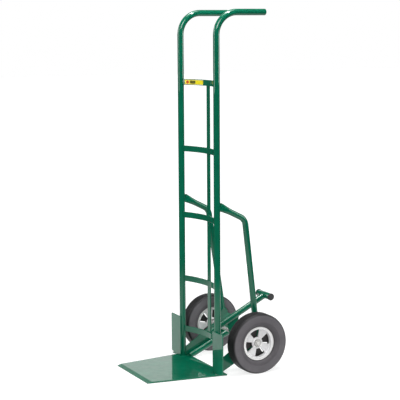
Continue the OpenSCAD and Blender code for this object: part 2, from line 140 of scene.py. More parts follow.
def applyPlace(piece):
    pick(piece)
    bpy.ops.object.transform_apply(location=True, rotation=True, scale=True)


def smooth(piece, angle=35):
    pick(piece)
    bpy.ops.object.shade_smooth_by_angle(angle=math.radians(angle))


def bevelEdges(piece, width, segments=2, angle=30):
    pick(piece)
    edge = piece.modifiers.new("edge", "BEVEL")
    edge.width = width
    edge.segments = segments
    edge.limit_method = "ANGLE"
    edge.angle_limit = math.radians(angle)
    edge.harden_normals = False
    bpy.ops.object.modifier_apply(modifier=edge.name)


def joinPieces(name, parts):
    clearSelection()
    for part in parts:
        part.select_set(True)
    bpy.context.view_layer.objects.active = parts[0]
    if len(parts) > 1:
        bpy.ops.object.join()
    piece = bpy.context.object
    piece.name = name
    piece.data.name = name
    applyPlace(piece)
    return piece


def spinSelected(centre, axis, degrees, steps):
    # the operator turns the other way round its axis than a rotation does
    bpy.ops.mesh.spin(steps=steps, angle=-math.radians(degrees), center=centre, axis=axis)


def lathe(name, outline, centre, steps=96, closed=True):
    # outline is a list of (x, r): x along the axle, r out from it; spun about X through centre
    points = [(x, centre[1], centre[2] + r) for x, r in outline]
    piece = drawOutline(name, points, closed)
    bpy.ops.mesh.select_all(action="SELECT")
    bpy.ops.mesh.spin(steps=steps, angle=2 * math.pi, center=centre, axis=(1, 0, 0), use_auto_merge=True)
    tidyMesh()
    leaveEdit()
    applyPlace(piece)
    return piece


def platePiece(name, outline, thickness):
    # outline is a closed list of 3D points in one plane; thickness is the step to the other face
    piece = drawOutline(name, outline, closed=True)
    bpy.ops.mesh.edge_face_add()
    bpy.ops.mesh.extrude_region_move(TRANSFORM_OT_translate={"value": Vector(thickness)})
    tidyMesh()
    leaveEdit()
    applyPlace(piece)
    return piece


def roundBar(name, radius, start, legs, sides=40):
    # a circle pushed along straight legs and round bends:
    # ("go", step) or ("bend", centre, axis, degrees, steps)
    first = Vector(legs[0][1])
    clearSelection()
    bpy.ops.mesh.primitive_circle_add(vertices=sides, radius=radius, fill_type="NGON", location=start)
    piece = bpy.context.object
    piece.name = name
    piece.data.name = name
    piece.rotation_mode = "QUATERNION"
    piece.rotation_quaternion = first.to_track_quat("Z", "X")
    applyPlace(piece)
    editAll(piece)
    bpy.ops.mesh.select_mode(type="FACE")
    bpy.ops.mesh.select_all(action="SELECT")
    for leg in legs:
        if leg[0] == "go":
            bpy.ops.mesh.extrude_region_move(TRANSFORM_OT_translate={"value": Vector(leg[1])})
        else:
            spinSelected(leg[1], leg[2], leg[3], leg[4])
    bpy.ops.mesh.select_mode(type="VERT")
    tidyMesh()
    leaveEdit()
    return piece


def cutBelow(piece, place, normal):
    # takes away what lies on the far side of a plane and closes the cut
    editAll(piece)
    bpy.ops.mesh.bisect(plane_co=place, plane_no=normal, use_fill=True, clear_outer=True)
    leaveEdit()


def cutWith(piece, cutter):
    pick(piece)
    cut = piece.modifiers.new("cut", "BOOLEAN")
    cut.operation = "DIFFERENCE"
    cut.solver = "EXACT"
    cut.object = cutter
    bpy.ops.object.modifier_apply(modifier=cut.name)
    bpy.data.objects.remove(cutter)


# materials
def newMaterial(name):
    material = bpy.data.materials.new(name)
    material.use_nodes = True
    nodes = material.node_tree.nodes
    return material, nodes, material.node_tree.links, nodes["Principled BSDF"]


def noiseNode(nodes, links, source, scale, detail=4.0, roughness=0.55):
    noise = nodes.new("ShaderNodeTexNoise")
    noise.inputs["Scale"].default_value = scale
    noise.inputs["Detail"].default_value = detail
    noise.inputs["Roughness"].default_value = roughness
    links.new(source, noise.inputs["Vector"])
    return noise


def ramp(nodes, links, source, stops):
    # stops are (place, colour); a single number is a grey
    node = nodes.new("ShaderNodeValToRGB")
    links.new(source, node.inputs["Fac"])
    while len(node.color_ramp.elements) < len(stops):
        node.color_ramp.elements.new(0.5)
    for element, (place, colour) in zip(node.color_ramp.elements, stops):
        element.position = place
        element.color = (*(colour if isinstance(colour, tuple) else (colour,) * 3), 1)
    return node


def feed(nodes, links, noise, low, high, socket):
    # a noise ramped between two stops, led into one of the shader's inputs
    links.new(ramp(nodes, links, noise.outputs["Fac"], [low, high]).outputs["Color"], socket)


def splitPlace(nodes, links, place):
    apart = nodes.new("ShaderNodeSeparateXYZ")
    links.new(place, apart.inputs[0])
    return apart.outputs


def mapRange(nodes, links, source, low, high):
    # 0 at low, 1 at high
    node = nodes.new("ShaderNodeMapRange")
    node.inputs["From Min"].default_value = low
    node.inputs["From Max"].default_value = high
    links.new(source, node.inputs["Value"])
    return node.outputs[0]


def mixColour(nodes, links, factor, first, second, blend="MIX"):
    node = nodes.new("ShaderNodeMix")
    node.data_type = "RGBA"
    node.blend_type = blend
    for socket, value in ((node.inputs[0], factor), (node.inputs[6], first), (node.inputs[7], second)):
        if isinstance(value, (int, float)):
            socket.default_value = value
        elif isinstance(value, tuple):
            socket.default_value = (*value, 1)
        else:
            links.new(value, socket)
    return node.outputs[2]


def mathNode(nodes, links, operation, first, second=0.0, clamp=False):
    node = nodes.new("ShaderNodeMath")
    node.operation = operation
    node.use_clamp = clamp
    for socket, value in zip(node.inputs, (first, second)):
        if isinstance(value, (int, float)):
            socket.default_value = value
        else:
            links.new(value, socket)
    return node.outputs[0]


def bumpNode(nodes, links, height, strength, distance, below=None):
    bump = nodes.new("ShaderNodeBump")
    bump.inputs["Strength"].default_value = strength
    bump.inputs["Distance"].default_value = distance
    links.new(height, bump.inputs["Height"])
    if below is not None:
        links.new(below, bump.inputs["Normal"])
    return bump.outputs["Normal"]


def objectPlace(nodes):
    return nodes.new("ShaderNodeTexCoord").outputs["Object"]


powderCoat = {"deep": (0.0, 0.116, 0.060), "fresh": (0.0, 0.144, 0.076), "roughness": 0.36, "peel": 0.00007,
              "scuffs": 0.012}


def makePowderCoat():
    material, nodes, links, shader = newMaterial("greenPowderCoat")
    place = objectPlace(nodes)
    broad = noiseNode(nodes, links, place, 7, 3)
    peel = noiseNode(nodes, links, place, 260, 2, 0.5)
    haze = noiseNode(nodes, links, place, 38, 5, 0.65)
    colour = ramp(nodes, links, broad.outputs["Fac"], [
        (0.35, powderCoat["deep"]), (0.65, powderCoat["fresh"])])
    # scuffs only where the plate meets the floor
    scuff = noiseNode(nodes, links, place, 130, 6, 0.7)
    nearFloor = mapRange(nodes, links, splitPlace(nodes, links, place)["Z"], powderCoat["scuffs"], 0.0)
    scratched = ramp(nodes, links, scuff.outputs["Fac"], [(0.62, 0), (0.70, 1)])
    worn = mathNode(nodes, links, "MULTIPLY", nearFloor, scratched.outputs["Color"])
    worn = mathNode(nodes, links, "MULTIPLY", worn, 0.35)
    links.new(mixColour(nodes, links, worn, colour.outputs["Color"], (0.16, 0.2, 0.18)),
              shader.inputs["Base Color"])
    feed(nodes, links, haze, (0.3, powderCoat["roughness"] - 0.06), (0.75, powderCoat["roughness"] + 0.1),
         shader.inputs["Roughness"])
    shader.inputs["Specular IOR Level"].default_value = 0.08
    shader.inputs["Coat Weight"].default_value = 1.0
    shader.inputs["Coat Roughness"].default_value = 0.035
    skin = bumpNode(nodes, links, peel.outputs["Fac"], 0.14, powderCoat["peel"])
    links.new(skin, shader.inputs["Normal"])
    links.new(skin, shader.inputs["Coat Normal"])
    return material


def axleRadius(nodes, links, place, centre):
    # distance of a point from the wheels' axle
    apart = splitPlace(nodes, links, place)
    alongY = mathNode(nodes, links, "SUBTRACT", apart["Y"], centre[1])
    alongZ = mathNode(nodes, links, "SUBTRACT", apart["Z"], centre[2])
    squares = mathNode(nodes, links, "ADD", mathNode(nodes, links, "MULTIPLY", alongY, alongY),
                       mathNode(nodes, links, "MULTIPLY", alongZ, alongZ))
    return mathNode(nodes, links, "SQRT", squares)


def makeRubber(centre):
    # grey bloom on the flanks; a dark band beside the hub is painted shade of the recess, and the tread is
    # made darker
    material, nodes, links, shader = newMaterial("tyreRubber")
    place = objectPlace(nodes)
    radius = mathNode(nodes, links, "MULTIPLY", axleRadius(nodes, links, place, centre), 5)
    cloud = noiseNode(nodes, links, place, 16, 5, 0.6)
    grain = noiseNode(nodes, links, place, 900, 3, 0.6)
    # painted shade: the rubber next to the hub ring is darkened as if it lay in the recess's shade; the
    # tread is darker too
    rings = ramp(nodes, links, radius, [
        (0.350, (0.030, 0.029, 0.031)), (0.375, (0.085, 0.080, 0.088)), (0.455, (0.098, 0.092, 0.101)),
        (0.470, (0.122, 0.116, 0.127)), (0.590, (0.132, 0.126, 0.137)), (0.618, (0.007, 0.007, 0.008))])
    dust = ramp(nodes, links, cloud.outputs["Fac"], [(0.3, (0.82, 0.82, 0.82)), (0.72, (1.12, 1.11, 1.1))])
    links.new(mixColour(nodes, links, 1.0, rings.outputs["Color"], dust.outputs["Color"], "MULTIPLY"),
              shader.inputs["Base Color"])
    feed(nodes, links, cloud, (0.3, 0.5), (0.8, 0.66), shader.inputs["Roughness"])
    shader.inputs["Specular IOR Level"].default_value = 0.35
    shader.inputs["Sheen Weight"].default_value = 0.03
    shader.inputs["Sheen Roughness"].default_value = 0.5
    links.new(bumpNode(nodes, links, grain.outputs["Fac"], 0.4, 0.0003), shader.inputs["Normal"])
    return material


castSkin = {
    "reach": 0.02,        # the painted shade is placed by distance from the wheel's middle
    "paintedShade": (-0.0125, -0.011, -0.0016, 0.0004),
    "metallic": 0.3,
    "ringFrom": 0.0641,
    "turning": 9000,
}


def makeCastMetal(centre):
    # die-cast skin with pitting, turning marks where the outer ring was machined, and painted shade on the
    # web behind the windows
    material, nodes, links, shader = newMaterial("castHubMetal")
    place = objectPlace(nodes)
    pits = noiseNode(nodes, links, place, 520, 4, 0.6)
    cloud = noiseNode(nodes, links, place, 26, 4, 0.6)
    radius = axleRadius(nodes, links, place, centre)
    onRing = mathNode(nodes, links, "GREATER_THAN", radius, castSkin["ringFrom"])
    cast = ramp(nodes, links, cloud.outputs["Fac"], [(0.3, (0.80, 0.80, 0.80)), (0.7, (0.90, 0.90, 0.91))])
    # painted shade: the web and hollow behind the windows are darkened to near-black where they lie in shade
    reach = castSkin["reach"]
    outX = mathNode(nodes, links, "ABSOLUTE", splitPlace(nodes, links, place)["X"])
    inward = mapRange(nodes, links, outX, centre[0] - reach, centre[0] + reach)
    places = [(u + reach) / (2 * reach) for u in castSkin["paintedShade"]]
    unshaded = ramp(nodes, links, inward, [
        (places[0], 1), (places[1], 0), (places[2], 0), (places[3], 1)])
    cast = mixColour(nodes, links, unshaded.outputs["Color"], (0.045, 0.044, 0.043), cast.outputs["Color"])
    links.new(mixColour(nodes, links, onRing, cast, (0.93, 0.93, 0.92)), shader.inputs["Base Color"])
    turned = mathNode(nodes, links, "SINE", mathNode(nodes, links, "MULTIPLY", radius, castSkin["turning"]))
    roughCast = ramp(nodes, links, cloud.outputs["Fac"], [(0.3, 0.4), (0.75, 0.55)])
    links.new(mixColour(nodes, links, onRing, roughCast.outputs["Color"], (0.2, 0.2, 0.2)),
              shader.inputs["Roughness"])
    shader.inputs["Metallic"].default_value = castSkin["metallic"]
    skin = bumpNode(nodes, links, pits.outputs["Fac"], 0.6, 0.0005)
    marks = mathNode(nodes, links, "MULTIPLY", turned, onRing)
    links.new(bumpNode(nodes, links, marks, 0.12, 0.0001, skin), shader.inputs["Normal"])
    return material


def makeBareSteel():
    material, nodes, links, shader = newMaterial("zincPlatedSteel")
    place = objectPlace(nodes)
    stretch = nodes.new("ShaderNodeMapping")
    stretch.inputs["Scale"].default_value = (1, 14, 14)
    links.new(place, stretch.inputs["Vector"])
    lines = noiseNode(nodes, links, stretch.outputs[0], 160, 4, 0.6)
    cloud = noiseNode(nodes, links, place, 45, 3)
    feed(nodes, links, cloud, (0.3, (0.62, 0.62, 0.60)), (0.7, (0.78, 0.775, 0.76)),
         shader.inputs["Base Color"])
    feed(nodes, links, lines, (0.3, 0.24), (0.7, 0.4), shader.inputs["Roughness"])
    shader.inputs["Metallic"].default_value = 0.6
    links.new(bumpNode(nodes, links, lines.outputs["Fac"], 0.2, 0.0002), shader.inputs["Normal"])
    return material


def makeBlackPlastic():
    material, nodes, links, shader = newMaterial("blackPlastic")
    place = objectPlace(nodes)
    grain = noiseNode(nodes, links, place, 700, 3, 0.6)
    cloud = noiseNode(nodes, links, place, 60, 3)
    feed(nodes, links, cloud, (0.3, (0.03, 0.031, 0.033)), (0.7, (0.05, 0.05, 0.053)),
         shader.inputs["Base Color"])
    feed(nodes, links, grain, (0.3, 0.42), (0.7, 0.55), shader.inputs["Roughness"])
    links.new(bumpNode(nodes, links, grain.outputs["Fac"], 0.3, 0.0002), shader.inputs["Normal"])
    return material


labelPrint = {"disc": -0.1275, "discRadius": 0.0075, "blockFrom": -0.115, "blockTo": -0.083,
              "blockHalf": 0.0065, "edge": 0.0012}


def makeLabelVinyl(low, high):
    # plain yellow vinyl with a red disc and a dark block, bordered in white: no lettering
    material, nodes, links, shader = newMaterial("labelVinyl")
    place = objectPlace(nodes)
    apart = splitPlace(nodes, links, place)
    alongX, alongZ = apart["X"], apart["Z"]
    middle = (low.z + high.z) / 2
    up = mathNode(nodes, links, "ABSOLUTE", mathNode(nodes, links, "SUBTRACT", alongZ, middle))
    overX = mathNode(nodes, links, "SUBTRACT", alongX, labelPrint["disc"])
    reach = mathNode(nodes, links, "ADD", mathNode(nodes, links, "MULTIPLY", overX, overX),
                     mathNode(nodes, links, "MULTIPLY", up, up))
    disc = mathNode(nodes, links, "LESS_THAN", reach, labelPrint["discRadius"] ** 2)
    after = mathNode(nodes, links, "GREATER_THAN", alongX, labelPrint["blockFrom"])
    before = mathNode(nodes, links, "LESS_THAN", alongX, labelPrint["blockTo"])
    inner = mathNode(nodes, links, "LESS_THAN", up, labelPrint["blockHalf"])
    block = mathNode(nodes, links, "MULTIPLY", mathNode(nodes, links, "MULTIPLY", after, before), inner)
    rim = mathNode(nodes, links, "GREATER_THAN", up, (high.z - low.z) / 2 - labelPrint["edge"])
    fade = noiseNode(nodes, links, place, 60, 3)
    yellow = ramp(nodes, links, fade.outputs["Fac"], [(0.3, (1.0, 0.80, 0.010)), (0.7, (1.0, 0.90, 0.02))])
    colour = mixColour(nodes, links, disc, yellow.outputs["Color"], (0.62, 0.10, 0.01))
    colour = mixColour(nodes, links, block, colour, (0.12, 0.12, 0.012))
    colour = mixColour(nodes, links, rim, colour, (0.8, 0.78, 0.62))
    links.new(colour, shader.inputs["Base Color"])
    feed(nodes, links, fade, (0.3, 0.22), (0.7, 0.32), shader.inputs["Roughness"])
    shader.inputs["Coat Weight"].default_value = 0.3
    return material


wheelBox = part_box("right_tyre")
wheelMiddle = (wheelBox[0] + wheelBox[1]) / 2
greenPaint = makePowderCoat()
rubber = makeRubber(wheelMiddle)
castMetal = makeCastMetal(wheelMiddle)
steel = makeBareSteel()
plastic = makeBlackPlastic()
vinyl = makeLabelVinyl(*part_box("strap_label"))
print("hand truck: materials made")


def finishPiece(piece, material, body="frame", stands=(), angle=35):
    piece.data.materials.clear()
    piece.data.materials.append(material)
    if angle:
        smooth(piece, angle)
    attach(piece, body)
    if stands:
        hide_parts(*stands)
    return piece


def paintedPiece(piece, node, angle=35):
    return finishPiece(piece, greenPaint, stands=[node], angle=angle)


def paintNode(node, material):
    mesh = frame["nodes"][node].data
    mesh.materials.clear()
    mesh.materials.append(material)


# rails and handles
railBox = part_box("right_rail")
rail = {
    "radius": (railBox[1].x - railBox[0].x) / 2,
    "x": (railBox[0].x + railBox[1].x) / 2,
    "bendRadius": 0.092,
    "sides": 48,
    "bendSteps": 28,
}
rail["handleZ"] = railBox[1].z - rail["radius"]
rail["straightTop"] = rail["handleZ"] - rail["bendRadius"]


def makeRail(side, word):
    x = side * rail["x"]
    bend = rail["bendRadius"]
    piece = roundBar(word + "Rail", rail["radius"], (x, 0, railBox[0].z), [
        ("go", (0, 0, rail["straightTop"] - railBox[0].z)),
        ("bend", (x, bend, rail["straightTop"]), (1, 0, 0), -90, rail["bendSteps"]),
        ("go", (0, railBox[1].y - bend, 0)),
    ], rail["sides"])
    return paintedPiece(piece, word + "_rail")


for side, word in sides:
    makeRail(side, word)


def makeHandlePlug(side, word):
    tipY = railBox[1].y
    node = word + "_handle_plug"
    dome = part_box(node)[1].y - tipY
    clearSelection()
    bpy.ops.mesh.primitive_uv_sphere_add(segments=40, ring_count=20, radius=rail["radius"],
                                         location=(side * rail["x"], tipY, rail["handleZ"]))
    piece = bpy.context.object
    piece.name = word + "HandlePlug"
    editAll(piece)
    bpy.ops.mesh.bisect(plane_co=(0, tipY - 0.0002, rail["handleZ"]), plane_no=(0, -1, 0),
                        use_fill=True, clear_outer=True)
    leaveEdit()
    piece.scale = (1, dome / rail["radius"], 1)
    applyPlace(piece)
    return paintedPiece(piece, node)


for side, word in sides:
    makeHandlePlug(side, word)
print("hand truck: rails and handles")


# cross straps, centre strap and label
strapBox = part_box("cross_strap_5")
strap = {"edge": 0.0009, "steps": 44, "thickness": 0.0048}
strap["back"] = strapBox[1].y
strap["bow"] = strap["back"] - strap["thickness"]
strap["endX"] = rail["x"] - rail["radius"] / 2
strap["arc"] = (strap["endX"] ** 2 + strap["bow"] ** 2) / (2 * strap["bow"])


def arcPoint(x, depth=0.0):
    # a point on the straps' arc: depth is measured back from the front face
    radius = strap["arc"] + depth
    return Vector((x, strap["bow"] - strap["arc"] + math.sqrt(radius ** 2 - x ** 2), 0))


def makeArcBand(name, low, high, xFrom, xTo, depthFrom, depthTo, steps):
    centre = (0, strap["bow"] - strap["arc"], 0)
    middle = strap["arc"] + (depthFrom + depthTo) / 2
    angleFrom, angleTo = math.asin(xFrom / middle), math.asin(xTo / middle)
    clearSelection()
    bpy.ops.mesh.primitive_plane_add(size=1, location=(0, centre[1] + middle, (low + high) / 2))
    piece = bpy.context.object
    piece.name = name
    piece.scale = (high - low, depthTo - depthFrom, 1)
    piece.rotation_euler = (0, math.pi / 2, 0)
    applyPlace(piece)
    editAll(piece)
    bpy.ops.mesh.select_mode(type="FACE")
    bpy.ops.mesh.select_all(action="SELECT")
    # the plane starts in the middle, so it is first turned to the band's end
    turnAbout(piece, centre, angleFrom)
    spinSelected(centre, (0, 0, -1), math.degrees(angleTo - angleFrom), steps)
    tidyMesh()
    leaveEdit()
    return piece


def turnAbout(piece, centre, angle):
    # turns the selected mesh about an upright line, clockwise from above
    leaveEdit()
    spot = Vector(centre)
    turn = Matrix.Rotation(-angle, 4, "Z")
    piece.data.transform(Matrix.Translation(spot) @ turn @ Matrix.Translation(-spot))
    bpy.ops.object.mode_set(mode="EDIT")


def makeCrossStrap(number):
    node = "cross_strap_%d" % number
    low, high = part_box(node)
    reach = rail["x"] - rail["radius"] * 0.75
    piece = makeArcBand("crossStrap%d" % number, low.z, high.z, -reach, reach, 0, strap["thickness"],
                        strap["steps"])
    bevelEdges(piece, strap["edge"], 2, 50)
    return paintedPiece(piece, node, 12)


for number in range(1, 6):
    makeCrossStrap(number)


def makeCentreStrap():
    low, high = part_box("centre_strap")
    clearSelection()
    bpy.ops.mesh.primitive_cube_add(size=1, location=(low + high) / 2)
    piece = bpy.context.object
    piece.name = "centreStrap"
    piece.scale = high - low
    applyPlace(piece)
    bevelEdges(piece, strap["edge"], 2, 50)
    return paintedPiece(piece, "centre_strap", 12)


makeCentreStrap()


def makeLabel():
    low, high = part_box("strap_label")
    piece = makeArcBand("strapLabel", low.z, high.z, low.x, high.x, -0.0004, 0.0, 30)
    return finishPiece(piece, vinyl, stands=["strap_label"])


makeLabel()
print("hand truck: straps and label")


# flat plates
toePlate = {"frontHalf": 0.156, "taper": 0.020, "frontEdge": 0.0024, "edge": 0.0007}
guard = {"cutWidth": 0.042, "cutHeight": 0.008, "corner": 0.004, "edge": 0.001}


def makeToePlate():
    low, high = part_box("toe_plate")
    half, edge = toePlate["frontHalf"], toePlate["frontEdge"]
    outline = [(-half, low.y, 0), (half, low.y, 0), (high.x, high.y, 0), (low.x, high.y, 0)]
    piece = platePiece("toePlate", outline, (0, 0, high.z))
    drop = math.atan((high.z - edge) / toePlate["taper"])
    cutBelow(piece, (0, low.y, edge), (0, -math.sin(drop), math.cos(drop)))
    bevelEdges(piece, toePlate["edge"], 2, 12)
    return paintedPiece(piece, "toe_plate", 5)


makeToePlate()


def makeGuard(side, word):
    node = word + "_wheel_guard"
    low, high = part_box(node)
    inner, outer = (low.x, high.x) if side > 0 else (high.x, low.x)
    corner = guard["corner"]
    outline = [
        (inner, low.y, low.z), (outer - side * guard["cutWidth"], low.y, low.z),
        (outer, low.y, low.z + guard["cutHeight"]),
        (outer, low.y, high.z - corner), (outer - side * corner, low.y, high.z), (inner, low.y, high.z),
    ]
    piece = platePiece(word + "WheelGuard", outline, (0, high.y - low.y, 0))
    bevelEdges(piece, guard["edge"], 2, 25)
    return paintedPiece(piece, node, 12)


for side, word in sides:
    makeGuard(side, word)
print("hand truck: plates")


# wheels
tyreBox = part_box("right_tyre")
wheel = {
    "x": (tyreBox[0].x + tyreBox[1].x) / 2,
    "y": (tyreBox[0].y + tyreBox[1].y) / 2,
    "z": (tyreBox[0].z + tyreBox[1].z) / 2,
    "radius": (tyreBox[1].z - tyreBox[0].z) / 2,
    "half": (tyreBox[1].x - tyreBox[0].x) / 2,
    "treadHalf": 0.0205,
    "rimRadius": 0.0712,
    "rimHalf": 0.0175,
    "ring": 0.004,
    "seat": 0.0632,       # radius of the groove that holds the tyre
    "barrel": 0.0592,     # radius of the inside of the hub's barrel
    "steps": 128,
    "grooves": (0.0125, 0.0045),
}


def wheelCentre(side):
    return (side * wheel["x"], wheel["y"], wheel["z"])


def makeTyre(side, word):
    half, radius, tread = wheel["half"], wheel["radius"], wheel["treadHalf"]
    shoulder = half - tread
    seatHalf, rim = wheel["rimHalf"] - wheel["ring"], wheel["rimRadius"]
    flank = [
        (seatHalf, wheel["seat"]), (seatHalf, rim + 0.0005), (seatHalf + 0.003, rim + 0.001),
        (0.0205, rim + 0.0022), (0.0247, rim + 0.005), (0.0282, rim + 0.0088), (0.0300, rim + 0.013),
        (0.0309, 0.0922), (0.0315, 0.0928), (half, 0.1000), (half, radius - 1.4 * shoulder),
    ]
    for turn in range(0, 91, 9):
        angle = math.radians(turn)
        flank.append((tread + shoulder * math.cos(angle), radius - shoulder + shoulder * math.sin(angle)))
    for groove in wheel["grooves"]:
        flank += [(groove + 0.0011, radius), (groove + 0.0007, radius - 0.0012),
                  (groove - 0.0007, radius - 0.0012), (groove - 0.0011, radius)]
    outline = flank + [(-x, r) for x, r in reversed(flank)]
    spun = [(side * wheel["x"] + x, r) for x, r in outline]
    piece = lathe(word + "Tyre", spun, wheelCentre(side), wheel["steps"])
    return finishPiece(piece, rubber, word + "_wheel", [word + "_tyre"], angle=28)


hub = {
    "bossRadius": 0.0215,
    "bossOut": 0.009,
    "bossIn": 0.029,
    "counterbore": 0.01745,
    "bearing": 0.011,
    "sunk": 0.003,
    "bore": 0.0105,
    "webFace": 0.0045,    # how far the spokes' face is outside the wheel's middle
    "webBack": 0.0065,
    "innerFace": 0.0035,  # how far the inner spokes are set in from the inner ring
    "innerWeb": 0.005,
    "windows": 4,
    "windowTurn": 14,
    "windowHalf": 24.5,
    "windowIn": 0.0246,
    "windowOut": 0.0580,
    "windowCorner": 0.0024,
    "edge": 0.0008,
}


def ringOutline():
    half, inner = wheel["rimHalf"], wheel["barrel"]
    flange = [
        (half - 0.0125, inner - 0.0006), (half - 0.0042, inner), (half - 0.0016, inner + 0.0012),
        (half - 0.0003, inner + 0.0038), (half, inner + 0.0050), (half, wheel["rimRadius"] - 0.0007),
        (half - 0.0007, wheel["rimRadius"]), (half - wheel["ring"] + 0.0005, wheel["rimRadius"]),
        (half - wheel["ring"], wheel["rimRadius"] - 0.0005), (half - wheel["ring"], wheel["seat"] + 0.0004),
        (half - wheel["ring"] - 0.0004, wheel["seat"]),
    ]
    return flange + [(-x, r) for x, r in reversed(flange)]


def windowOutline(number):
    # a pie-shaped window with rounded corners, as (angle, radius) points
    middle = hub["windowTurn"] + number * 360 / hub["windows"]
    low, high, corner = hub["windowIn"], hub["windowOut"], hub["windowCorner"]
    points = []
    for end, sign, rise in ((low, -1, 1), (low, 1, 1), (high, 1, -1), (high, -1, -1)):
        cornerTurn = math.degrees(corner / (end + rise * corner))
        sweep = range(0, 91, 18)
        for step in (sweep if (sign > 0) == (rise > 0) else reversed(sweep)):
            slope = math.radians(step)
            angle = middle + sign * (hub["windowHalf"] - cornerTurn * (1 - math.sin(slope)))
            points.append((angle, end + rise * corner * (1 - math.cos(slope))))
    return points


def polar(angle, radius, x):
    turn = math.radians(angle)
    return (x, wheel["y"] + radius * math.cos(turn), wheel["z"] + radius * math.sin(turn))


def sideArc(first, second, radius, steps):
    return [(first[0] + (second[0] - first[0]) * k / steps, radius) for k in range(1, steps)]


def arcBetween(points):
    # fills in the round sides between a window's corners, so that they follow the hub
    per = len(points) // 4
    lowArc = sideArc(points[per - 1], points[per], hub["windowIn"], 6)
    highArc = sideArc(points[3 * per - 1], points[3 * per], hub["windowOut"], 8)
    return points[:per] + lowArc + points[per:3 * per] + highArc + points[3 * per:]


def makeWeb(side, outside, thickness, turn):
    # a disc with windows; outside is how far its outer face is from the wheel's middle
    face = side * (wheel["x"] + outside)
    back = face - side * thickness
    inner, outer = hub["bossRadius"] - 0.0015, wheel["barrel"] + 0.0008
    section = [(face, inner), (face, outer), (back, outer), (back, inner)]
    piece = lathe("hubWeb", section, wheelCentre(side), 120)
    for number in range(hub["windows"]):
        outline = arcBetween(windowOutline(number))
        corners = [polar(angle + turn, radius, face + side * 0.002) for angle, radius in outline]
        cutter = platePiece("hubWindow", corners, (-side * (thickness + 0.004), 0, 0))
        cutWith(piece, cutter)
    editAll(piece)
    bpy.ops.mesh.remove_doubles(threshold=0.00002)
    bpy.ops.mesh.dissolve_limited(angle_limit=math.radians(1))
    leaveEdit()
    bevelEdges(piece, hub["edge"], 3, 40)
    return piece


def makeBoss(side):
    out, back = hub["bossOut"], -hub["bossIn"]
    radius, bore, seat = hub["bossRadius"], hub["bore"], hub["counterbore"]
    web, webBack = hub["webFace"], hub["webFace"] - hub["webBack"]
    floorOut = out - hub["sunk"] - hub["bearing"]
    floorIn = back + hub["sunk"] + hub["bearing"]
    outline = [
        (floorOut, bore), (floorOut, seat), (out - 0.0006, seat), (out, seat + 0.0006),
        (out, radius - 0.0012), (out - 0.0012, radius), (web + 0.0022, radius + 0.0003),
        (web + 0.0008, radius + 0.0011), (web, radius + 0.0026), (webBack, radius + 0.0026),
        (webBack - 0.0016, radius + 0.0008), (webBack - 0.003, radius), (back + 0.0012, radius),
        (back, radius - 0.0012),
        (back, seat + 0.0006), (back + 0.0006, seat), (floorIn, seat), (floorIn, bore),
    ]
    return lathe("hubBoss", [(side * (wheel["x"] + x), r) for x, r in outline], wheelCentre(side), 96)


def makeHub(side, word):
    rings = lathe("hubRings", [(side * wheel["x"] + x, r) for x, r in ringOutline()], wheelCentre(side), 160)
    halfPitch = 180 / hub["windows"]
    outer = makeWeb(side, hub["webFace"], hub["webBack"], 0)
    innerOut = hub["innerFace"] - wheel["rimHalf"] + hub["innerWeb"]
    inner = makeWeb(side, innerOut, hub["innerWeb"], halfPitch)
    piece = joinPieces(word + "Hub", [rings, outer, inner, makeBoss(side)])
    return finishPiece(piece, castMetal, word + "_wheel", [word + "_hub"], angle=18)


for side, word in sides:
    makeTyre(side, word)
    makeHub(side, word)
print("hand truck: wheels")


# axle and washers
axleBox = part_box("axle")
axle = {"radius": (axleBox[1].z - axleBox[0].z) / 2, "end": axleBox[1].x, "chamfer": 0.0012}
washer = {"thickness": 0.002, "edge": 0.0004, "play": 0.0002}


def makeAxle():
    end, radius, cut = axle["end"], axle["radius"], axle["chamfer"]
    outline = [(-end, 0), (-end, radius - cut), (-end + cut, radius),
               (end - cut, radius), (end, radius - cut), (end, 0)]
    piece = lathe("axle", outline, (0, wheel["y"], wheel["z"]), 64, closed=False)
    return finishPiece(piece, steel, stands=["axle"])


def makeWashers(name, node):
    # a matching ring on each side of the truck, with its edges broken
    low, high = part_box(node)
    outer, edge = (high.z - low.z) / 2, washer["edge"]
    inner = axle["radius"] + washer["play"]
    rings = []
    for side in (-1, 1):
        start, end = high.x - washer["thickness"], high.x
        outline = [(start, inner), (start, outer - edge), (start + edge, outer), (end - edge, outer),
                   (end, outer - edge), (end, inner)]
        rings.append(lathe(name, [(side * x, r) for x, r in outline], (0, wheel["y"], wheel["z"]), 56))
    return finishPiece(joinPieces(name, rings), steel, stands=[node])


makeAxle()
makeWashers("outerWashers", "outer_washers")
makeWashers("innerWashers", "inner_washers")
print("hand truck: axle")


# braces
brace = {
    "diameter": 0.0254,
    "topZ": 0.712,
    "cornerY": 0.130,
    "cornerDrop": 0.066,
    "bend": 0.045,
    "taper": 0.020,
    "flat": 0.010,
    "headTaper": 0.050,
    "headSquash": 0.62,
    "flatThick": 0.006,
    "squareness": 0.25,   # lower is squarer: the shape of a pressed end's corners
    "footX": 0.1445,
    "foot": (0.197, 0.142),
    "footFlatTop": 0.184,
    "sides": 40,
    "pressSteps": 5,
    "legSteps": 6,
    "bendSteps": 14,
}


def pressed(offset, normal, roundness):
    # moves a point of a pipe's ring onto the ring of the pressed end
    radius = brace["diameter"] / 2
    halfX = roundness * radius + (1 - roundness) * brace["flatThick"] / 2
    halfN = roundness * radius + (1 - roundness) * math.pi * radius / 2
    power = roundness + (1 - roundness) * brace["squareness"]
    turn = math.atan2(normal, offset)
    c, t = math.cos(turn), math.sin(turn)
    return (halfX * math.copysign(abs(c) ** power, c), halfN * math.copysign(abs(t) ** power, t))


